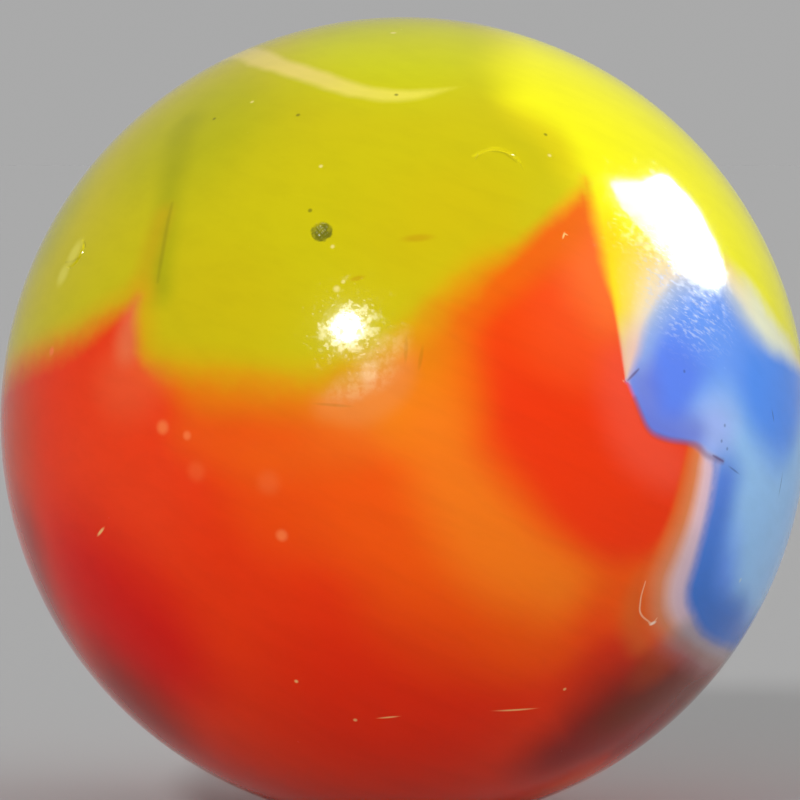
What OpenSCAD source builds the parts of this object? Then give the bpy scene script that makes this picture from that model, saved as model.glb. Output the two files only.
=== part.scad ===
// A toy marble: one ball of opaque coloured glass, rounded between grooved rollers while soft.
// The origin is the ball's centre. Front is -Y, right is +X and up is +Z.

/* [Ball] */
// Diameter of the ball
ball_d = 16; // [12:0.5:25]

/* [Pit] */
// Width of the open pit across its mouth
pit_w = 0.42; // [0.2:0.02:0.8]
// Depth of the pit below the ball's surface
pit_depth = 0.07; // [0.04:0.01:0.12]
// Turn of the pit about the upright axis, from the front towards the right
pit_turn = -12.7; // [-180:0.1:180]
// Lift of the pit above the ball's middle
pit_lift = 28.6; // [-80:0.1:80]

/* [Crescent chips] */
// Width of a chip at its middle
chip_w = 0.08; // [0.05:0.01:0.12]
// Depth of a chip below the ball's surface
chip_depth = 0.04; // [0.03:0.01:0.06]
// Outer radius of the right chip
right_chip_r = 0.48; // [0.3:0.02:0.8]
// Turn of the right chip about the upright axis, from the front towards the right
right_chip_turn = 16.8; // [-180:0.1:180]
// Lift of the right chip above the ball's middle
right_chip_lift = 39.1; // [-80:0.1:80]
// Which way the right chip bulges in the surface: 0 is right, 90 is up
right_chip_spin = 80; // [-180:5:180]
// Outer radius of the left chip
left_chip_r = 0.32; // [0.2:0.02:0.8]
// Turn of the left chip about the upright axis, from the front towards the right
left_chip_turn = -61; // [-180:1:180]
// Lift of the left chip above the ball's middle
left_chip_lift = 25; // [-80:1:80]
// Which way the left chip bulges in the surface: 0 is right, 90 is up
left_chip_spin = -25; // [-180:5:180]

/* [Hidden] */
// Facets round a circle, where the shape is drawn with flat facets
$fn = 96;
// Radius of the ball
ball_r = ball_d / 2;
// How far the cutting tools stand out of the ball, so that they leave no skin
proud = 0.2;
// Depth of the pit below its own rim
pit_bowl = pit_depth - fall_at(pit_w / 2);
// Radius of the round bowl with that width and that depth below its rim
pit_bowl_r = (pit_w * pit_w / 4 + pit_bowl * pit_bowl) / (2 * pit_bowl);

// How far the ball's surface falls away from flat at a distance from the touching point
function fall_at(distance) = ball_r - sqrt(ball_r * ball_r - distance * distance);

// Places its children on the ball's surface: their +Z points straight out, and spin turns them in the surface
module on_surface(turn, lift, spin = 0) {
    rotate([0, 0, turn])
        rotate([90 - lift, 0, 0])
            translate([0, 0, ball_r])
                rotate([0, 0, spin])
                    children();
}

// The round bowl that is missing at the open pit
module pit() {
    translate([0, 0, pit_bowl_r - pit_depth])
        sphere(r = pit_bowl_r);
}

// The sliver that is missing at a crescent chip: a disc less the same disc moved over by the chip's width
module chip(r) {
    sunk = chip_depth + fall_at(r);
    translate([0, 0, -sunk])
        difference() {
            cylinder(r = r, h = sunk + proud);
            translate([-chip_w, 0, -proud])
                cylinder(r = r, h = sunk + 3 * proud);
        }
}

// The glass ball, with the pit and the chips that wear has left in it
module marble() {
    color([0.85, 0.62, 0.05])
        difference() {
            sphere(d = ball_d);
            on_surface(pit_turn, pit_lift)
                pit();
            on_surface(right_chip_turn, right_chip_lift, right_chip_spin)
                chip(right_chip_r);
            on_surface(left_chip_turn, left_chip_lift, left_chip_spin)
                chip(left_chip_r);
        }
}

marble();
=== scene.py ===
import math

import bpy
import numpy as np
from mathutils import Matrix, Vector, noise as lumps


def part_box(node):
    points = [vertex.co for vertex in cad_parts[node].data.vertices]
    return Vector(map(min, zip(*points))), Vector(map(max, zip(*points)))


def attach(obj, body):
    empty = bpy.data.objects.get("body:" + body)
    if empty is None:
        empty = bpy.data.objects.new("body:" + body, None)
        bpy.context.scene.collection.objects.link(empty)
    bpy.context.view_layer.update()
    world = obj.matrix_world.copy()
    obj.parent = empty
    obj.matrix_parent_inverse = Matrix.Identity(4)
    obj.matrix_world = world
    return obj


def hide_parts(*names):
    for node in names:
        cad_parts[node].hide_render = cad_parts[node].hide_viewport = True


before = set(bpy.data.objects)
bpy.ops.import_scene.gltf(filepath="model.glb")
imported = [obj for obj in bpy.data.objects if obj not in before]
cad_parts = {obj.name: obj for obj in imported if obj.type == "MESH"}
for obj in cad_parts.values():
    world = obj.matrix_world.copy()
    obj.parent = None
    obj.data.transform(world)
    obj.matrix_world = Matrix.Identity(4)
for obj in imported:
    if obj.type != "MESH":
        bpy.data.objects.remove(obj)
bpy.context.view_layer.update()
MM = 0.001
scene = bpy.context.scene
scene.view_settings.view_transform = "Standard"

# --------------------------------------------------------------------------------------------------
# Camera: a long close-up lens, nearly level with the middle of the ball and close enough that the ball
# fills the view.
low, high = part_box("marble")
ball_r = (high.z - low.z) / 2
camera_lift = math.radians(2.5)
camera_far = 15 * ball_r
camera_at = Vector((0, -camera_far * math.cos(camera_lift), camera_far * math.sin(camera_lift)))
aim_at = Vector((-0.074, 0, 0.403)) * MM
bpy.ops.object.select_all(action="DESELECT")
camera_turn = (aim_at - camera_at).to_track_quat("-Z", "Y").to_euler()
bpy.ops.object.camera_add(location=camera_at, rotation=camera_turn)
camera = bpy.context.object
camera.name = "close_up_camera"
camera.data.sensor_width = 36
camera.data.lens = 271.6
camera.data.clip_start = ball_r
camera.data.clip_end = 20
scene.camera = camera

# --------------------------------------------------------------------------------------------------
# The marble: one gob of opaque glass in which yellow-green, lemon, red, orange, white and blue glass ran
# together. It was cut off hot and rounded between grooved rollers. Play has since left an open pit, two
# crescent chips and fine scratches.
pit_turn, pit_lift = -12.7, 28.6
pit_w, pit_depth = 0.42, 0.07
chip_w, chip_depth = 0.08, 0.04
chips = [(16.8, 39.1, 80, 0.48), (-61, 25, -25, 0.32)]

bpy.ops.object.select_all(action="DESELECT")
bpy.ops.mesh.primitive_ico_sphere_add(subdivisions=7, radius=ball_r)
marble = bpy.context.object
marble.name = "swirl_marble"


def out_from(turn, lift):
    """The way out from the ball's centre, for a turn right from the front and a lift above the middle."""
    turn, lift = math.radians(turn), math.radians(lift)
    return np.array([math.cos(lift) * math.sin(turn), -math.cos(lift) * math.cos(turn), math.sin(lift)])


def facing(turn, lift):
    """Out, right and up at a place on the ball, as seen from outside."""
    out = out_from(turn, lift)
    right = np.array([math.cos(math.radians(turn)), math.sin(math.radians(turn)), 0])
    return out, right, np.cross(right, -out)


def on_ball(at):
    """The same places brought to the ball's surface, in mm."""
    return at / np.linalg.norm(at, axis=-1)[..., None] * ball_r / MM


def drawn(points, closed=False, steps=8):
    """A smooth line on the ball, in mm, through points of turn and lift. A point given twice is a corner."""
    p = np.array([out_from(*point) for point in points])
    p = np.vstack([p[-1:], p, p[:2]] if closed else [p[:1], p, p[-1:]])
    line = []
    for a, b, c, d in zip(p, p[1:], p[2:], p[3:]):
        for t in np.linspace(0, 1, steps, endpoint=False):
            line.append(b + 0.5 * t * (c - a + t * (2 * a - 5 * b + 4 * c - d + t * (3 * (b - c) + d - a))))
    line.append(p[-2])
    line = np.array(line)
    return on_ball(line[np.append(True, np.linalg.norm(np.diff(line, axis=0), axis=1) > 1e-6)])


def surface():
    """Where the ball's mesh points are, in mm."""
    at = np.zeros(len(marble.data.vertices) * 3)
    marble.data.vertices.foreach_get("co", at)
    return at.reshape(-1, 3) / MM


def reach_to(line, places):
    """How far places are from a line in mm, and how far along it, from 0 to 1, the nearest point is."""
    near = np.full(len(places), np.inf)
    along = np.zeros(len(places))
    for n, (a, b) in enumerate(zip(line, line[1:])):
        ab, ap = b - a, places - a
        t = np.clip(ap @ ab / (ab @ ab), 0, 1)
        gap = np.linalg.norm(ap - t[:, None] * ab, axis=1)
        nearer = gap < near
        near[nearer] = gap[nearer]
        along[nearer] = (n + t[nearer]) / (len(line) - 1)
    return near, along


def finer(reach, *lines):
    """Cuts the faces within reach of the lines, in mm, into four, and puts the new points on the ball."""
    centres = np.zeros(len(marble.data.polygons) * 3)
    marble.data.polygons.foreach_get("center", centres)
    centres = centres.reshape(-1, 3) / MM
    near = np.full(len(centres), np.inf)
    for line in lines:
        near = np.minimum(near, reach_to(line, centres)[0])
    bpy.ops.object.mode_set(mode="EDIT")
    bpy.ops.mesh.select_mode(type="FACE")
    bpy.ops.mesh.select_all(action="DESELECT")
    bpy.ops.object.mode_set(mode="OBJECT")
    marble.data.polygons.foreach_set("select", near < reach)
    bpy.ops.object.mode_set(mode="EDIT")
    bpy.ops.mesh.subdivide(number_cuts=1, ngon=False)
    bpy.ops.object.mode_set(mode="OBJECT")
    marble.data.vertices.foreach_set("co", (on_ball(surface()) * MM).ravel())
    marble.data.update()


# The lines of the swirl, each through places given as turn and lift in degrees.
yellow_edge = [
    (-78, 7), (-57, 11.5), (-46, 16), (-42, 18), (-42, 18), (-40.5, 14), (-39, 11), (-36, 9),
    (-29, 8), (-14, 7), (-6, 9), (0, 12), (11, 22), (17, 26), (29, 34), (32.5, 36.5), (32.5, 36.5),
    (32, 33), (31, 22), (32, 11), (33, 8.5), (33, 8.5), (44, 11.5), (62, 9), (86, 5), (105, 4),
    (122, -2), (140, 4), (155, 18), (175, 27), (-165, 22), (-150, 8), (-132, 2), (-115, 12),
    (-98, 13), (-86, 7.5),
]
green_edge = [
    (26, 31), (32, 36), (33, 40), (32, 46), (24.5, 51.5), (26, 56), (29, 62), (46, 70), (80, 77),
    (163, 68), (168, 54), (157, 40), (126, 14), (130, 4), (150, 2), (175, 14), (-165, 8),
    (-150, -4), (-120, 0), (-100, 4), (-80, -4), (-50, 2), (-20, -4), (0, 3), (18, 20),
]
streak_edge = [
    (-66, 63), (-46, 60), (-18.5, 54), (-9, 52), (-1.5, 51.5), (5.5, 52.5), (15.5, 55.5),
    (15.5, 55.5), (6, 55), (-3, 55), (-11, 56.5), (-35, 62.5), (-65, 67.5), (-100, 66), (-120, 58),
    (-120, 58), (-95, 60.5),
]
wedge_edge = [
    (38, 44), (24, 44), (14, 34), (10.5, 27), (9, 10), (11.5, 0), (15, -5), (22, -12), (27, -15.5),
    (33, -17), (39, -15.5), (45, -9), (52, 0), (52, 0), (44, 5), (40, 10), (38, 20), (38, 34),
]
cream_edge = [
    (31.5, 7.5), (31.5, 7.5), (31, 13), (31, 19), (32, 25), (36, 29), (43, 30.5), (54, 28.5),
    (62.5, 23.5), (69.5, 17), (76, 13.5), (86, 10.5), (99, 7), (110, 1), (112, -6), (102, -8),
    (80, -8), (50, 2), (38, 4),
]
blue_edge = [
    (48, 21), (43, 20), (36.5, 15), (34, 11), (32, 7.5), (32, 7.5), (33, 5), (35, 1), (38, -0.5),
    (43.5, -1.5), (46, -3), (48, -4), (48, -6), (47, -19), (47.5, -23), (50.5, -26), (56, -29.5),
    (76, -33.5), (88, -34.5), (99, -31), (107, -22), (108, -10), (100, -1), (90, 4), (71.5, 9),
    (64, 11), (59.5, 14.5), (56.5, 18), (53.5, 21),
]
milk_edge = [
    (46, 4), (42.5, 0), (39.5, -11.5), (36.5, -19), (37, -23), (39.5, -27.5), (45, -31), (52, -33),
    (90, -38.5), (106, -34), (116, -24), (112, -8), (95, -10), (60, -4), (52, 2), (48, 5),
]
seam_line = [*blue_edge[6:11], (49.5, -4)]
foot_line = [(50.5, 0), *blue_edge[11:21]]
# The fold's soft band of painted shade.
fold_shade_line = [(-50, 47), (-42, 33), (-38, 20)]
crease_line = [(-41, 33), (-39.3, 26), (-38.5, 21)]
spike_glow = [(-42, 31), (-41.6, 25), (-41.6, 19)]
pink_line = [(-41, 19), (-42, 14), (-42, 11.5)]
tick_line = [(32, 7.5), (34, 9)]
joint_line = [(47.3, -3.1), (49.7, -4)]
fibre_lines = [
    [(37.6, -20.4), (37.5, -22.3), (37.7, -23.7), (38.1, -24.9), (39, -25.8), (40.5, -26.6), (41.4, -27)],
    [(40.7, -26.8), (41.5, -27.2), (42.2, -26.2)],
]
amber_line = [(-37, 11), (-32, 9), (-26, 6.5), (-12, 6), (-4, 8), (7, 15), (11, 19)]
rust_line = [(10, 19), (24, 28), (31, 35)]
glow_line = [(-29, 1), (-22, -1), (-8, -1)]
spill_line = [(4, 1), (13, -14), (22, -20)]
# A line below the small lamp's shine, where orange glass takes painted glare.
peach_glare_line = [(-10, 4.5), (-6, 5.5), (-2.5, 7.5), (-0.8, 11)]
tan_line = [(41.5, -14), (38.6, -20), (38, -25), (41, -29.5)]
blush_line = [(30, 32), (29, 26), (31, 18)]
honey_line = [(32.4, 28), (32.8, 21), (33.6, 12)]
lower_blush = [(31.5, 9), (32, 4), (34, -1), (39, -4)]
pale_line = [(49, 0), (62.5, -11.5), (65, -20)]
violet_line = [(34, 8), (36, 1), (43, 0)]
deep_line = [(50, -7), (48, -17), (53, -26), (80, -33)]
# Lines where painted shade greys the white glass low on the right.
grey_shade_line = [(51, -30), (57, -33), (92, -36)]
dull_shade_line = [(45, -17), (45, -21), (50, -29), (56, -32)]
# Lines low on the right where painted shade darkens the glass to brown and olive.
brown_shade_line = [(40, -51), (48, -45), (58, -43), (70, -45), (84, -49)]
olive_shade_line = [(46, -42), (58, -39), (70, -41), (84, -46)]
# A line low on the left rim where painted shade darkens the glass to maroon.
dusky_shade_line = [(-72, -16), (-76, -26), (-88, -36), (-108, -44), (-130, -44)]
far_orange = [
    (112, -26), (130, -14), (152, -10), (172, -18), (-165, -26), (-142, -22), (-122, -10), (-106, -6),
]
low_orange = [(60, -62), (100, -54), (138, -46), (170, -50), (-155, -60), (-110, -66)]
bright_line = [(27, 50), (31.5, 45), (33, 41), (32, 38)]
far_fold = [(118, 44), (138, 36), (156, 40), (174, 52), (-168, 66)]
# Lines on the chip rims that carry a painted highlight.
chip_shine_lines = [
    [(12.5, 41), (14.5, 41.8), (16.5, 42.4), (18.2, 42.2), (19.8, 41.4), (21, 40)],
    [(-60.4, 27), (-59.2, 26.3), (-58.6, 25.2)],
]
# Lines on the chip steps that carry painted shade.
chip_shade_lines = [
    [(16.3, 41.9), (18.2, 41.6), (19.2, 41), (20.3, 39.9)],
    [(-63, 23.6), (-61, 23.7), (-59.8, 24), (-58.7, 24.6)],
    [(-59.9, 26.8), (-58.9, 26.4), (-58.3, 25.9)],
]

# Small things need small faces: the cuts follow the wear, the thin lines and the sharp tips.
pit_at = out_from(pit_turn, pit_lift) * ball_r / MM
pit_spot = np.array([pit_at, pit_at * 1.0001])
chip_arcs = []
for turn, lift, spin, r in chips:
    out, right, up = facing(turn, lift)
    bulge = np.radians(spin) + np.linspace(-1.4, 1.4, 20)
    arc = np.outer(np.cos(bulge), right) + np.outer(np.sin(bulge), up)
    chip_arcs.append(on_ball(out * ball_r / MM + r * arc))
thin_lines = [drawn(line) for line in (tick_line, joint_line, *fibre_lines, *chip_shine_lines, *chip_shade_lines)]
sharp_lines = [drawn(line) for line in (seam_line, cream_edge[1:5], crease_line)]
finer(0.35, *thin_lines, *chip_arcs, *sharp_lines, pit_spot, drawn(fold_shade_line), drawn(streak_edge[:7]))
finer(0.22, *thin_lines, *chip_arcs, *sharp_lines, pit_spot)
finer(0.11, *thin_lines, *chip_arcs)
finer(0.25, pit_spot)
places = surface()
# A slow drift, in mm, so that no edge runs too evenly. Its seed is fixed, because the noise would
# otherwise start from the clock.
drift_seed, drift_scale, drift_most = 7, 0.8, 0.5
lumps.seed_set(drift_seed)
drift = np.array([lumps.noise_vector(Vector(at) * drift_scale) for at in places]) * drift_most


def keep(name, values):
    """Stores a number or a colour for each mesh point, for the glass to read."""
    if values.ndim == 1:
        marble.data.attributes.new(name, "FLOAT", "POINT").data.foreach_set("value", values)
    else:
        values = np.column_stack([values, np.ones(len(values))])
        marble.data.attributes.new(name, "FLOAT_COLOR", "POINT").data.foreach_set("color", values.ravel())


def soft(values, start, end):
    """A soft step from 0 at start to 1 at end."""
    t = np.clip((values - start) / (end - start), 0, 1)
    return t * t * (3 - 2 * t)


def melt(heart, outline):
    """How far inside a patch of coloured glass each mesh point is, in mm, and negative outside it. Heart is a
    place well within the patch."""
    line = drawn(outline, closed=True)
    out, right, up = facing(*heart)

    def unrolled(at):
        at = at / np.linalg.norm(at, axis=1)[:, None]
        flat = np.stack([at @ right, at @ up], axis=1)
        away = np.arccos(np.clip(at @ out, -1, 1))
        return flat * (away / np.maximum(np.linalg.norm(flat, axis=1), 1e-9))[:, None]

    x, y = unrolled(places).T
    ring = unrolled(line)
    inside = np.zeros(len(places), bool)
    for (ax, ay), (bx, by) in zip(ring, np.roll(ring, -1, axis=0)):
        if ay != by:
            inside ^= ((ay > y) != (by > y)) & (x < (bx - ax) * (y - ay) / (by - ay) + ax)
    near, _ = reach_to(line, places)
    return np.where(inside, near, -near)


def trail(width, *lines):
    """How far outside some lines each mesh point is, in mm. They are that wide and taper to their ends."""
    outside = np.full(len(places), np.inf)
    for points in lines:
        near, along = reach_to(drawn(points), places)
        outside = np.minimum(outside, near - width / 2 * np.sin(np.pi * np.clip(along, 0.02, 0.98)) ** 0.6)
    return outside


def strand(points, width, fade, strength=1.0):
    """How much of a soft strand of glass shows along a line: all within its width, none fade mm further."""
    return strength * soft(trail(width, points) + 0.15 * drift[:, 1], fade, 0)


def cloud(turn, lift, reach, fade, strength=1.0):
    """How much of a soft cloud of glass shows round a place: all within reach mm, none fade mm further."""
    away = np.linalg.norm(places - out_from(turn, lift) * ball_r / MM, axis=1)
    return strength * soft(away + 0.4 * drift[:, 0], reach + fade, reach)


def dye(r, g, b):
    """A glass colour, given as the eye sees it from 0 to 255, as light."""
    return np.array([c / 255 / 12.92 if c <= 10 else ((c / 255 + 0.055) / 1.055) ** 2.4 for c in (r, g, b)])


def poured(under, *pours):
    """Glass colours run one over another: each pour is a colour, or colours, and how much of it shows."""
    for top, share in pours:
        under = under + (top - under) * share[:, None]
    return under


# The body: red glass with orange run through it, crimson low on the left and brown low on the right.
# Its brown, and the maroon low on the left rim, are partly glass colour and partly painted shade.
RED = dye(244, 55, 0)
ORANGE = dye(253, 92, 0)
CRIMSON = dye(226, 13, 0)
MAROON_AND_SHADE = dye(140, 6, 0)
BROWN_AND_SHADE = dye(144, 16, 0)
AMBER = dye(236, 130, 0)
BLUSH = dye(255, 112, 42)
wedge_in = melt((24, 8), wedge_edge)
in_yellow = melt((0, 80), yellow_edge)
wedge_dye = poured(
    RED,
    (dye(246, 72, 0), cloud(15, 19, 0.4, 1.6, 0.8)),
    (dye(250, 84, 22), cloud(26, 15, 0.5, 1.2, 0.7)),
    (BLUSH, strand(blush_line, 0.3, 1.2, 0.95)),
    (dye(250, 82, 52), strand(lower_blush, 0.2, 0.9, 0.8)),
)
ground = poured(
    RED,
    (dye(247, 64, 16), cloud(-42, -4, 0.8, 2.2, 0.8)),
    (dye(216, 62, 0), cloud(-78, 0, 0.8, 2.2, 0.9)),
    (CRIMSON, cloud(-54, -25, 0.6, 2.4, 0.9)),
    (CRIMSON, cloud(-44, -31, 0.4, 1.8, 0.8)),
    # Maroon low on the left rim: partly dark glass, partly painted shade.
    (MAROON_AND_SHADE, strand(dusky_shade_line, 0.1, 1.5, 0.65)),
    (MAROON_AND_SHADE, cloud(-62, -42, 0.3, 2.0, 0.7)),
    (dye(247, 82, 0), cloud(-14, -6, 0.5, 1.8, 0.8)),
    (ORANGE, cloud(3, -8, 0.8, 2.2, 0.8)),
    (ORANGE, cloud(10, -20, 0.8, 2.2, 0.85)),
    (ORANGE, cloud(20, -26, 0.5, 1.5, 0.7)),
    (dye(250, 92, 0), cloud(35, -21, 0.3, 1.1, 0.85)),
    # Peach below the small lamp's shine: partly orange glass, partly painted glare.
    (dye(246, 138, 34), cloud(-6, 5, 0.3, 1.2, 0.75)),
    (dye(248, 140, 0), cloud(3.2, 8, 0.7, 1.1, 0.85)),
    (CRIMSON, cloud(-2, -40, 1.0, 2.6, 0.4)),
    (ORANGE, strand(far_orange, 0.3, 1.5, 0.9)),
    (ORANGE, strand(low_orange, 0.2, 1.4, 0.7)),
    (CRIMSON, cloud(-168, -42, 0.5, 1.8, 0.8)),
    (CRIMSON, cloud(132, -34, 0.3, 1.6, 0.7)),
    # Brown, olive and dark red low on the right: partly brown glass, partly painted shade.
    (BROWN_AND_SHADE, strand(brown_shade_line, 1.6, 1.7, 0.9)),
    (dye(120, 42, 0), strand(olive_shade_line, 0.3, 1.3, 0.85)),
    (dye(150, 26, 0), cloud(39, -37, 0.2, 1.5, 0.45)),
    (dye(176, 60, 0), cloud(47, -33.5, 0.15, 0.8, 0.8)),
    (dye(226, 108, 34), strand(tan_line, 0.1, 0.6, 0.7)),
    (dye(247, 104, 10), strand(glow_line, 0.2, 1.0, 0.5)),
    (AMBER, strand(amber_line, 0.1, 0.8, 0.85)),
    (dye(246, 88, 42), cloud(-41, 7.5, 0.2, 1.1, 0.8)),
    (dye(255, 126, 18), strand(spill_line, 0.4, 1.4, 0.9)),
    # Peach below the small lamp's shine: partly orange glass, partly painted glare.
    (dye(248, 142, 66), strand(peach_glare_line, 0.5, 0.45, 0.6)),
)
wedge_soft = np.interp(places[:, 0], [1.8, 3.2], [1.7, 0.9])
ground = poured(ground, (wedge_dye, soft(wedge_in / wedge_soft + 0.1 * drift[:, 2], -0.5, 0.5)))
ground = poured(
    ground,
    (dye(240, 106, 0), strand(rust_line, 0.2, 0.7, 0.85)),
    (dye(240, 122, 74), strand(pink_line, 0.1, 0.5, 0.7)),
)

# The yellow cap, greener on the left and at the top, with the lemon glass on its right.
GREENER = dye(184, 183, 0)
cap = poured(
    dye(207, 194, 0),
    (GREENER, cloud(-46, 47, 0.5, 2.4, 0.8)),
    (GREENER, cloud(-78, 30, 0.3, 1.6, 0.5)),
    (dye(209, 210, 0), cloud(0, 68, 1.0, 2.2, 0.9)),
    (dye(190, 192, 0), cloud(-30, 78, 0.4, 1.6, 0.4)),
    (dye(209, 186, 0), cloud(8, 26, 0.6, 2.2, 0.7)),
    (dye(209, 186, 0), cloud(-28, 14, 0.6, 2.0, 0.6)),
    # A soft darker band along the fold: painted shade.
    (dye(172, 170, 0), strand(fold_shade_line, 0.0, 0.6, 0.8)),
    (GREENER, cloud(-158, 38, 0.6, 2.2, 0.7)),
    (GREENER, cloud(-112, 30, 0.4, 1.8, 0.5)),
    (dye(222, 214, 20), strand(far_fold, 0.1, 1.1, 0.8)),
    (dye(236, 218, 0), strand(bright_line, 0.1, 0.9, 0.8)),
    (dye(210, 172, 0), strand(spike_glow, 0.0, 0.5, 0.6)),
)
lemon_in = melt((0, 80), green_edge) / np.interp(places[:, 2], [5.5, 7.0], [0.7, 1.6])
lemon = poured(dye(255, 250, 0), (dye(255, 216, 20), strand(honey_line, 0.5, 0.9, 0.85)))
cap = poured(lemon, (cap, soft(lemon_in + 0.12 * drift[:, 2], -0.5, 0.5)))
cap = poured(cap, (dye(226, 168, 0), soft(in_yellow, 0.75, 0.0) * soft(places[:, 0], 2.3, 0.9) * 0.8))

# The blue: azure above, a pale swirl through the middle, and deep along its lower left edge.
in_blue = melt((70, -8), blue_edge)
navy = poured(dye(98, 142, 236), (dye(66, 122, 214), cloud(58, -28, 1.2, 2.8)))
sky = poured(
    dye(111, 162, 255),
    (dye(96, 135, 247), cloud(39.5, 7, 0.5, 1.0, 0.95)),
    (dye(150, 203, 255), cloud(76, -15, 1.5, 1.3, 0.95)),
    (dye(157, 206, 255), strand(pale_line, 0.9, 1.3)),
    (dye(82, 150, 255), cloud(65, 5.8, 0.85, 1.2, 0.9)),
    (dye(168, 190, 255), cloud(47.5, 0.5, 0.2, 0.9, 0.9)),
    (navy, strand(deep_line, 0.3, 0.95)),
    (navy, cloud(62, -31, 0.1, 1.3)),
    (dye(108, 122, 220), strand(violet_line, 0.0, 0.7, 0.8)),
    (dye(162, 186, 232), soft(in_blue, 0.6, 0.0) * cloud(46, 18, 1.4, 1.4, 0.9)),
)

# Where one glass meets another: how far inside, counted in the softness of that edge.
keep("ground", ground)
keep("cap", cap)
keep("sky", sky)
yellow_soft = np.interp(
    places[:, 0], [-6.8, -5.6, -5.3, -4.9, -4.4, 1.0, 2.8, 3.9], [1.1, 0.8, 0.5, 0.5, 0.8, 0.95, 0.4, 0.14],
)
yellow_soft += 0.24 * soft(places[:, 0], 2.4, 3.2) * soft(places[:, 2], 2.0, 3.4)
yellow_soft += 0.3 * soft(places[:, 1], 0.0, 3.0)
keep("yellow", in_yellow / yellow_soft)
keep("streak", melt((-30, 59), streak_edge))
in_cream = melt((70, 5), cream_edge)
on_right = soft(places[:, 0], 4.4, 5.6)
keep("cream", in_cream / (0.16 + 0.54 * on_right) - 0.4 * on_right)
in_milk = melt((75, -22), milk_edge)
keep("milk", in_milk / np.interp(places[:, 2], [-3.8, -1.8], [0.9, 0.16]))
blue_soft = np.interp(np.maximum(in_cream, in_milk), [0.0, 0.5], [0.16, 0.36])
blue_soft *= 1 + soft(places[:, 0], 4.8, 5.8) * soft(places[:, 2], 0.6, 1.8)
keep("blue", in_blue / blue_soft)
# Across a halo, from 0 at its own edge to 1 where the blue starts.
halo_widths = {"cream_depth": (in_cream, -in_blue), "milk_depth": (in_milk, trail(0, foot_line))}
for name, (inside, to_blue) in halo_widths.items():
    inside = np.clip(inside, 0, None)
    keep(name, inside / np.maximum(inside + np.clip(to_blue, 0, None), 1e-6))
# Grey over the white glass low on the right: painted shade.
keep("painted_grey_shade", np.maximum(strand(grey_shade_line, 0.3, 1.1, 0.75), strand(dull_shade_line, 0.2, 0.9, 0.25)))
keep("crease", trail(0.05, crease_line))
keep("tick", trail(0.03, tick_line, joint_line))
keep("seam", trail(0.03, seam_line))
keep("fibre", trail(0.015, *fibre_lines))
# Where the chips' painted highlight and painted shade lie.
keep("chip_rim_shine", trail(0.04, *chip_shine_lines))
keep("chip_step_shade", trail(0.04, *chip_shade_lines))

# The open pit is a rough bowl with an uneven rim, and each chip a thin crescent step.
out, right, up = facing(pit_turn, pit_lift)
x, y = places @ right, places @ up
round_pit = np.arctan2(y, x)
pit_r = pit_w / 2 * (1 + 0.07 * np.sin(3 * round_pit + 1) + 0.05 * np.sin(5 * round_pit + 2.5) - 0.08)
rough_floor = 0.8 + 0.2 * np.sin(55 * x + 1) * np.sin(47 * y + 2)
dent = pit_depth * np.clip(1 - (np.hypot(x, y) / pit_r) ** 2, 0, 1) ** 0.7 * rough_floor * (places @ out > 0)
for turn, lift, spin, r in chips:
    out, right, up = facing(turn, lift)
    x, y = places @ right, places @ up
    bulge_x = chip_w * math.cos(math.radians(spin))
    bulge_y = chip_w * math.sin(math.radians(spin))
    within = np.minimum(r - np.hypot(x, y), np.hypot(x + bulge_x, y + bulge_y) - r)
    dent = np.maximum(dent, chip_depth * np.clip(within / 0.03, 0, 1) * (places @ out > 0))
marble.data.vertices.foreach_set("co", (places * (1 - dent / (ball_r / MM))[:, None] * MM).ravel())
marble.data.update()
bpy.ops.object.shade_smooth()

# The glass itself.
glass = bpy.data.materials.new("swirl_glass")
glass.use_nodes = True
tree = glass.node_tree
shader = tree.nodes["Principled BSDF"]


def node(kind, **settings):
    made = tree.nodes.new(kind)
    for name, value in settings.items():
        setattr(made, name, value)
    return made


def feed(socket, value):
    if isinstance(value, bpy.types.NodeSocket):
        tree.links.new(value, socket)
    else:
        socket.default_value = (*value, 1) if isinstance(value, np.ndarray) else value


def sums(operation, a, b=0.0, c=0.0):
    made = node("ShaderNodeMath", operation=operation)
    for socket, value in zip(made.inputs, (a, b, c)):
        feed(socket, value)
    return made.outputs[0]


def over(under, top, share):
    """One glass run over another: a share from 0 to 1 of the second."""
    made = node("ShaderNodeMix", data_type="RGBA")
    feed(made.inputs[0], share)
    feed(made.inputs[6], under)
    feed(made.inputs[7], top)
    return made.outputs[2]


def ramp(value, start, end, from_share=0.0, to_share=1.0):
    """A soft step: from_share before start, to_share past end."""
    made = node("ShaderNodeMapRange", interpolation_type="SMOOTHSTEP")
    for socket, x in zip(made.inputs, (value, start, end, from_share, to_share)):
        feed(socket, x)
    return made.outputs[0]


def bands(value, *stops):
    """Colours that follow one another: each stop is a place from 0 to 1, a colour and its cover."""
    made = node("ShaderNodeValToRGB")
    feed(made.inputs[0], value)
    points = made.color_ramp.elements
    while len(points) < len(stops):
        points.new(1)
    for point, (place, colour, cover) in zip(points, stops):
        point.position = place
        point.color = (*colour, cover)
    return made.outputs


def stored(name, kind="Fac"):
    return node("ShaderNodeAttribute", attribute_name=name).outputs[kind]


in_mm = node("ShaderNodeVectorMath", operation="SCALE")
feed(in_mm.inputs[0], node("ShaderNodeTexCoord").outputs["Object"])
in_mm.inputs[3].default_value = 1 / MM
in_mm = in_mm.outputs[0]


def cloudy(scale, detail=2.0, rough=0.5, where=None):
    """Cloudy noise of so many lumps to the mm, from 0 to 1."""
    made = node("ShaderNodeTexNoise")
    feed(made.inputs["Vector"], where or in_mm)
    made.inputs["Scale"].default_value = scale
    made.inputs["Detail"].default_value = detail
    made.inputs["Roughness"].default_value = rough
    return made.outputs["Fac"]


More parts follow.
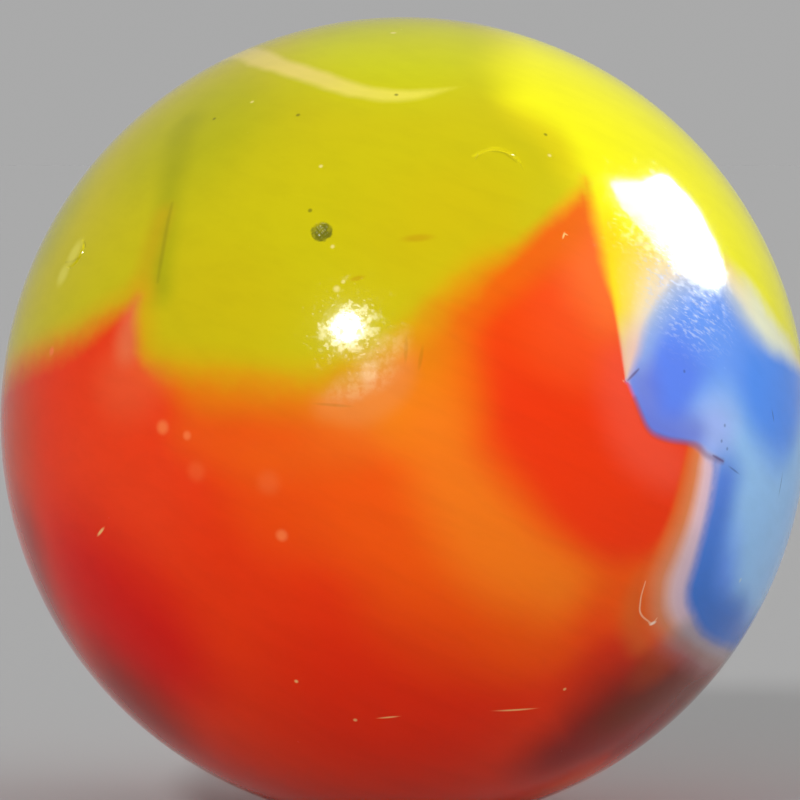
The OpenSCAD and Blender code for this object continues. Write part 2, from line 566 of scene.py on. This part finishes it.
def away_from(turn, lift, half_long, half_wide=None, spin=0):
    """How far from a place on the ball, counted so that the rim of a spot is at 1. The spot is round, or an
    oval turned by spin, and its half sizes are in mm."""
    if half_wide is None:
        made = node("ShaderNodeVectorMath", operation="DISTANCE")
        feed(made.inputs[0], in_mm)
        made.inputs[1].default_value = out_from(turn, lift) * ball_r / MM
        return sums("DIVIDE", made.outputs["Value"], half_long)
    out, right, up = facing(turn, lift)
    turned = node("ShaderNodeMapping", vector_type="TEXTURE")
    feed(turned.inputs["Vector"], in_mm)
    turned.inputs["Location"].default_value = out * ball_r / MM
    frame_at = Matrix((right, -out, up)).transposed() @ Matrix.Rotation(-math.radians(spin), 3, "Y")
    turned.inputs["Rotation"].default_value = frame_at.to_euler()
    turned.inputs["Scale"].default_value = (half_long, 1, half_wide)
    made = node("ShaderNodeVectorMath", operation="LENGTH")
    feed(made.inputs[0], turned.outputs[0])
    return made.outputs["Value"]


def marks(strength, *spots):
    """How much small marks show: each is a turn, a lift, and a size as away_from takes it."""
    near = away_from(*spots[0])
    for spot in spots[1:]:
        near = sums("MINIMUM", near, away_from(*spot))
    return ramp(near, 1.4, 0.35, 0.0, strength)


wander = sums("SUBTRACT", cloudy(1.1, 3, 0.55), 0.5)


def patch(name, stray=0.3):
    """How much of a melted patch shows. Its edge strays by that share of its softness."""
    return ramp(sums("MULTIPLY_ADD", wander, 4 * stray, stored(name)), -0.5, 0.5)


colour = over(stored("ground", "Color"), stored("cap", "Color"), patch("yellow", 0.12))
# White glass thinned into haloes: creamy between the lemon and the blue, pinkish below.
cream = bands(
    stored("cream_depth"),
    (0.0, dye(255, 236, 20), 0.0), (0.2, dye(255, 226, 56), 0.8), (0.45, dye(255, 224, 100), 1.0),
    (0.68, dye(252, 228, 170), 1.0), (0.85, dye(240, 224, 200), 1.0), (1.0, dye(196, 206, 224), 1.0),
)
cream_dye = over(cream[0], dye(238, 196, 186), marks(0.8, (33, 9, 0.9)))
cream_dye = over(cream_dye, dye(246, 255, 226), marks(0.8, (68, 14.5, 1.6)))
colour = over(colour, cream_dye, sums("MULTIPLY", cream[1], patch("cream")))
milk = bands(
    stored("milk_depth"),
    (0.0, dye(243, 88, 24), 0.8), (0.12, dye(240, 106, 40), 1.0), (0.4, dye(236, 136, 80), 1.0),
    (0.54, dye(241, 174, 150), 1.0), (0.68, dye(241, 200, 204), 1.0), (0.84, dye(230, 199, 217), 1.0),
    (1.0, dye(160, 160, 214), 1.0),
)
# The white glass greyed low on the right by painted shade.
milk_dye = over(milk[0], dye(146, 142, 150), stored("painted_grey_shade"))
colour = over(colour, milk_dye, sums("MULTIPLY", milk[1], patch("milk", 0.1)))
colour = over(colour, stored("sky", "Color"), patch("blue", 0.1))

# The straw streak over the cap, sharp below and soft above.
straw = over(dye(237, 226, 74), dye(238, 215, 112), marks(0.9, (-50, 62, 3.2)))
streak_in = sums("MULTIPLY_ADD", wander, 0.15, stored("streak"))
colour = over(colour, straw, ramp(streak_in, -0.05, 0.2, 0.0, 0.95))

# Fine uneven drawing in the glass.
flow = node("ShaderNodeMapping", vector_type="TEXTURE")
feed(flow.inputs["Vector"], in_mm)
flow.inputs["Rotation"].default_value = (0, math.radians(25), math.radians(20))
flow.inputs["Scale"].default_value = (3, 1, 0.5)
colour = over(colour, np.zeros(3), ramp(cloudy(1.4, 3, 0.6, flow.outputs[0]), 0.35, 0.75, 0.0, 0.04))

# Wear and dirt: creases, seams, soot and pale bubbles, with painted highlights and painted shade among them.
colour = over(colour, dye(120, 110, 10), ramp(stored("crease"), 0.06, -0.02, 0.0, 0.3))
colour = over(colour, dye(124, 62, 62), ramp(stored("seam"), 0.1, -0.01, 0.0, 0.4))
colour = over(colour, dye(84, 44, 84), ramp(stored("tick"), 0.03, -0.02, 0.0, 0.7))
colour = over(colour, dye(255, 205, 160), ramp(stored("fibre"), 0.022, -0.01, 0.0, 0.85))
# A bright knot where the fibre hooks: a painted glint.
colour = over(colour, dye(255, 228, 208), marks(0.8, (41.7, -27, 0.08, 0.04, 20)))
# Pale lines on the chip rims: painted highlight.
colour = over(colour, dye(240, 228, 20), ramp(stored("chip_rim_shine"), 0.05, -0.02, 0.0, 0.6))
# Darker lines on the chip steps: painted shade.
colour = over(colour, dye(150, 138, 0), ramp(stored("chip_step_shade"), 0.03, -0.02, 0.0, 0.45))
soot = marks(
    0.6, (-15, 31.9, 0.045), (-43, 48.2, 0.04), (-22.5, 48.9, 0.045), (-1.7, 53.3, 0.04),
    (28.5, 45, 0.04), (168, 34, 0.05), (-142, 26, 0.045),
)
colour = over(colour, dye(70, 74, 12), soot)
smears = marks(
    0.35, (-6.7, 21.8, 0.14, 0.05, 15), (2.1, 27.7, 0.3, 0.08, 5), (0.3, 12, 0.24, 0.04, 88),
    (2.3, 10.8, 0.22, 0.04, 80), (-9.5, 4.5, 0.34, 0.03, -4),
)
colour = over(colour, dye(186, 116, 0), smears)
# A whitish spot on the blue: a painted glint.
colour = over(colour, dye(190, 218, 240), marks(0.7, (60.8, -21.5, 0.05)))
cracks = marks(
    0.45, (52.3, -5.3, 0.2, 0.02, -24), (62.9, 1.8, 0.13, 0.025, -70), (67.3, -8, 0.23, 0.022, 84),
    (49.8, 0.9, 0.035), (49.1, -1.2, 0.035), (50.4, -2.3, 0.035), (42.1, 8.5, 0.032),
)
colour = over(colour, dye(52, 66, 130), cracks)
# A pale peach patch round and below the small lamp's shine: painted glare of that lamp on scuffed glass.
lamp_glare = marks(0.34, (-5.5, 7.6, 0.7, 0.3, 25), (-3, 11.4, 0.6, 0.3, 40))
lamp_glare = sums("MAXIMUM", marks(0.55, (-4.6, 9.3, 0.22, 0.3, 0)), lamp_glare)
lamp_glare = sums("MULTIPLY", lamp_glare, ramp(cloudy(6, 3, 0.6), 0.36, 0.66, 0.3))
colour = over(colour, dye(255, 212, 150), lamp_glare)
faint_bubbles = marks(0.25, (-29.2, -4.7, 0.2), (-18.5, -6, 0.24))
colour = over(colour, dye(255, 128, 66), faint_bubbles)
bubbles = marks(
    0.8, (-34.5, 1.1, 0.14), (-30.5, 0.1, 0.09), (-17, -13.2, 0.12), (-59.4, 10.8, 0.09),
    (172, -6, 0.13), (-138, -30, 0.1),
)
colour = over(colour, dye(255, 126, 66), bubbles)
# Bright pale dots and ticks, each a painted glint of light on a tiny bump or scratch.
painted_glints = marks(
    0.6, (-47.9, -13.7, 0.15, 0.03, 35), (-18.2, -35.7, 0.04), (-9, -42.8, 0.04),
    (20.6, -41.1, 0.4, 0.022, 2), (-2.8, -42.2, 0.2, 0.02, 8), (28.8, -37.5, 0.035), (-14.6, 39.2, 0.04),
    (-36, 51.8, 0.04), (-9.6, 20.3, 0.065), (-8.7, 21.3, 0.04), (-10.7, 26.4, 0.04),
    (-4.9, 72.8, 0.06), (27.3, 41.1, 0.04), (25.2, 28, 0.08, 0.02, 60),
    (25.6, 28.2, 0.05, 0.016, -30), (140, 24, 0.3, 0.025, -25), (-150, -14, 0.22, 0.025, 35),
    (-125, 42, 0.04), (160, -34, 0.04),
)
colour = over(colour, dye(255, 238, 150), painted_glints)
# A pale oval in the left chip's hollow: a painted reflection.
chip_glint_painted = marks(0.7, (-61.2, 25, 0.3, 0.2, 72), (-62.2, 21.8, 0.24, 0.2, 80))
colour = over(colour, dye(230, 220, 84), chip_glint_painted)

# Fine scratches from rubbing against other balls, above the blue and on it.
rub_way = node("ShaderNodeMapping", vector_type="TEXTURE")
feed(rub_way.inputs["Vector"], in_mm)
rub_way.inputs["Rotation"].default_value = (0, math.radians(28), math.radians(40))
rub_way.inputs["Scale"].default_value = (3, 1, 1)
rub_glint_lines = ramp(cloudy(17, 2, 0.6, rub_way.outputs[0]), 0.50, 0.68)
# The scratches are real wear; their pale colour is painted highlight from the window's light.
scratch_glints = sums("MULTIPLY", rub_glint_lines, marks(0.7, (46.5, 20, 1.2)))
colour = over(colour, dye(206, 220, 255), scratch_glints)

# The pit has a rough dark floor.
from_pit = away_from(pit_turn, pit_lift, pit_w / 2)
ragged = sums("MULTIPLY_ADD", sums("SUBTRACT", cloudy(9, 2), 0.5), 0.5, from_pit)
pitted = ramp(ragged, 1.1, 0.8)
mottle = ramp(cloudy(8, 2), 0.40, 0.65)
pit_floor = over(dye(106, 107, 6), dye(154, 149, 10), mottle)
colour = over(colour, pit_floor, sums("MULTIPLY", pitted, 0.9))
feed(shader.inputs["Base Color"], colour)

# The polish: smooth, but scuffed in patches, most of all high on the front and above the blue.
handled = sums("MAXIMUM", marks(0.14, (-7.5, 15, 0.85)), marks(0.16, (43, 19, 2.0), (39.5, 28.5, 0.8)))
scuffed = ramp(sums("ADD", cloudy(5.5, 2, 0.55), handled), 0.50, 1.0)
scratched = ramp(sums("ADD", cloudy(14, 1, 0.5, rub_way.outputs[0]), handled), 0.64, 0.95)
worn = sums("MAXIMUM", scuffed, scratched)
worn = sums("MAXIMUM", worn, marks(0.8, (-4.6, 8.6, 0.2, 0.26, 10)))
polished, dulled = 0.09, 0.31
feed(shader.inputs["Roughness"], ramp(sums("MAXIMUM", worn, pitted), 0.0, 1.0, polished, dulled))
bump = node("ShaderNodeBump")
bump.inputs["Distance"].default_value = 1e-6
feed(bump.inputs["Height"], sums("MULTIPLY", cloudy(3.5, 2), 2.0))
feed(shader.inputs["Normal"], bump.outputs[0])
shader.inputs["IOR"].default_value = 1.5
shader.inputs["Specular IOR Level"].default_value = 0.2
marble.data.materials.append(glass)

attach(marble, "root")
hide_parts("marble")

# --------------------------------------------------------------------------------------------------
# The floor: a plain pale table top, matt and even, that runs on past the view. Its grey is the one at which
# it looks as bright as the room behind it.
floor_r = 9
floor_grey = 0.447
bpy.ops.mesh.primitive_circle_add(vertices=96, radius=floor_r, fill_type="NGON", location=(0, 0, low.z))
floor = bpy.context.object
floor.name = "floor"
pale = bpy.data.materials.new("pale_floor")
pale.use_nodes = True
floor_shade = pale.node_tree.nodes["Principled BSDF"]
floor_shade.inputs["Base Color"].default_value = (floor_grey, floor_grey, floor_grey, 1)
floor_shade.inputs["Roughness"].default_value = 1
floor_shade.inputs["Specular IOR Level"].default_value = 0
floor.data.materials.append(pale)

# --------------------------------------------------------------------------------------------------
# Lights: the room's soft fill, a small far lamp above the camera's left, and three wide soft ones, high on
# the right, low behind and in front. A window high behind the ball's right shows only as a shine on the
# glass.
room_glow = 0.4
world = bpy.data.worlds.new("pale_room")
scene.world = world
world.use_nodes = True
world.node_tree.nodes["Background"].inputs["Color"].default_value = (1, 1, 1, 1)
world.node_tree.nodes["Background"].inputs["Strength"].default_value = room_glow


def far_lamp(name, towards, across, strength):
    """A round lamp so far away that only its direction counts, and how many degrees across it looks."""
    bpy.ops.object.light_add(type="SUN", rotation=Vector(towards).to_track_quat("Z", "Y").to_euler())
    made = bpy.context.object
    made.name = name
    made.data.angle = math.radians(across)
    made.data.energy = strength
    return made


# The small lamp's shine is stronger than its light: it is a bare bulb seen through the same pale shade.
small_lamp_towards = (-0.265, -0.847, 0.470)
small_lamp = far_lamp("small_lamp", small_lamp_towards, 7, 1.5)
small_lamp.visible_glossy = False
small_shine = far_lamp("small_shine", small_lamp_towards, 7, 3.8)
small_shine.visible_diffuse = False
soft_side = far_lamp("soft_side", (0.85, -0.2, 0.5), 60, 1.0)
soft_side.visible_glossy = False
soft_back = far_lamp("soft_back", (-0.15, 0.95, 0.25), 80, 0.9)
soft_back.visible_glossy = False
soft_front = far_lamp("soft_front", (-0.1, -0.95, 0.0), 80, 0.55)
soft_front.visible_glossy = False

# The window's panes are seen past a curtain, so its outline is uneven: mm from its middle, across and up.
pane = [
    (-17, 63), (19, 32), (66, 12), (73, 3), (70, -24), (55, -45), (39, -62), (3, -62), (-21, -50),
    (-47, -24), (-49, 4), (-46, 36), (-39, 51),
]
window_out = Vector((0.77, 0.30, 0.56)).normalized()
window_right = Vector((0, 0, 1)).cross(window_out).normalized()
window_up = window_out.cross(window_right)
window_far = 250 * MM
window_strength = 36
bpy.ops.mesh.primitive_circle_add(vertices=len(pane), fill_type="NGON")
window = bpy.context.object
window.name = "window"
for point, (x, y) in zip(window.data.vertices, pane):
    point.co = window_out * window_far + (window_right * x + window_up * y) * MM
glow = bpy.data.materials.new("window_glow")
glow.use_nodes = True
glow.node_tree.nodes.remove(glow.node_tree.nodes["Principled BSDF"])
emission = glow.node_tree.nodes.new("ShaderNodeEmission")
emission.inputs["Strength"].default_value = window_strength
glow.node_tree.links.new(emission.outputs[0], glow.node_tree.nodes["Material Output"].inputs["Surface"])
window.data.materials.append(glow)
window.visible_camera = False
window.visible_diffuse = False
window.visible_shadow = False
